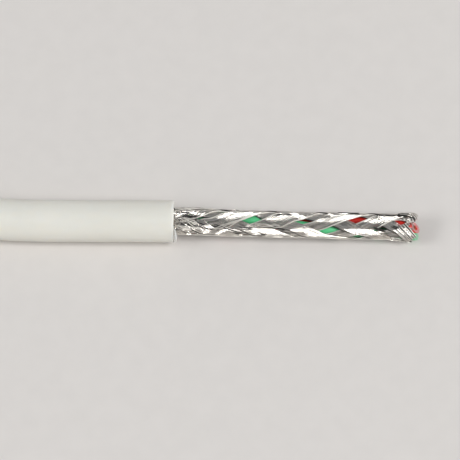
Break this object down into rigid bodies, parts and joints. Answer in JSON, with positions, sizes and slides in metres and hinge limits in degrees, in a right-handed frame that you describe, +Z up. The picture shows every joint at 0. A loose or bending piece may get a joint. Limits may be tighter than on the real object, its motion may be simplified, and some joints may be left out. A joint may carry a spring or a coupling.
{
  "type": "microphone cable",
  "caption": "Stripped end of a round screened microphone cable: pale jacket cut square, woven tinned braid and, inside it, a twisted pair of red and green insulated cores.",
  "frame": {"origin": "centre of the jacket's cut face, on the cable's axis", "axes": "+X along the cable towards the stripped end, +Y towards the side the jacket bends to, +Z up from the floor the cable lies on"},
  "size_m": [0.0972, 0.0138, 0.006],
  "materials": {
    "jacket_pvc": "pale grey extruded jacket, half matt, finely grained",
    "tinned_screen": "bright tinned copper wires laid side by side",
    "red_pvc": "smooth red core insulation",
    "green_pvc": "smooth pale green core insulation",
    "copper_strand": "bare copper strands, freshly cut"
  },
  "bodies": {
    "root": {"outer_jacket": "jacket_pvc", "hidden_screen": "tinned_screen", "carrier_right_1": "tinned_screen", "carrier_right_2": "tinned_screen", "carrier_right_3": "tinned_screen", "carrier_right_4": "tinned_screen", "carrier_left_1": "tinned_screen", "carrier_left_2": "tinned_screen", "carrier_left_3": "tinned_screen", "carrier_left_4": "tinned_screen", "red_insulation": "red_pvc", "red_conductor": "copper_strand", "green_insulation": "green_pvc", "green_conductor": "copper_strand"}
  },
  "joints": []
}
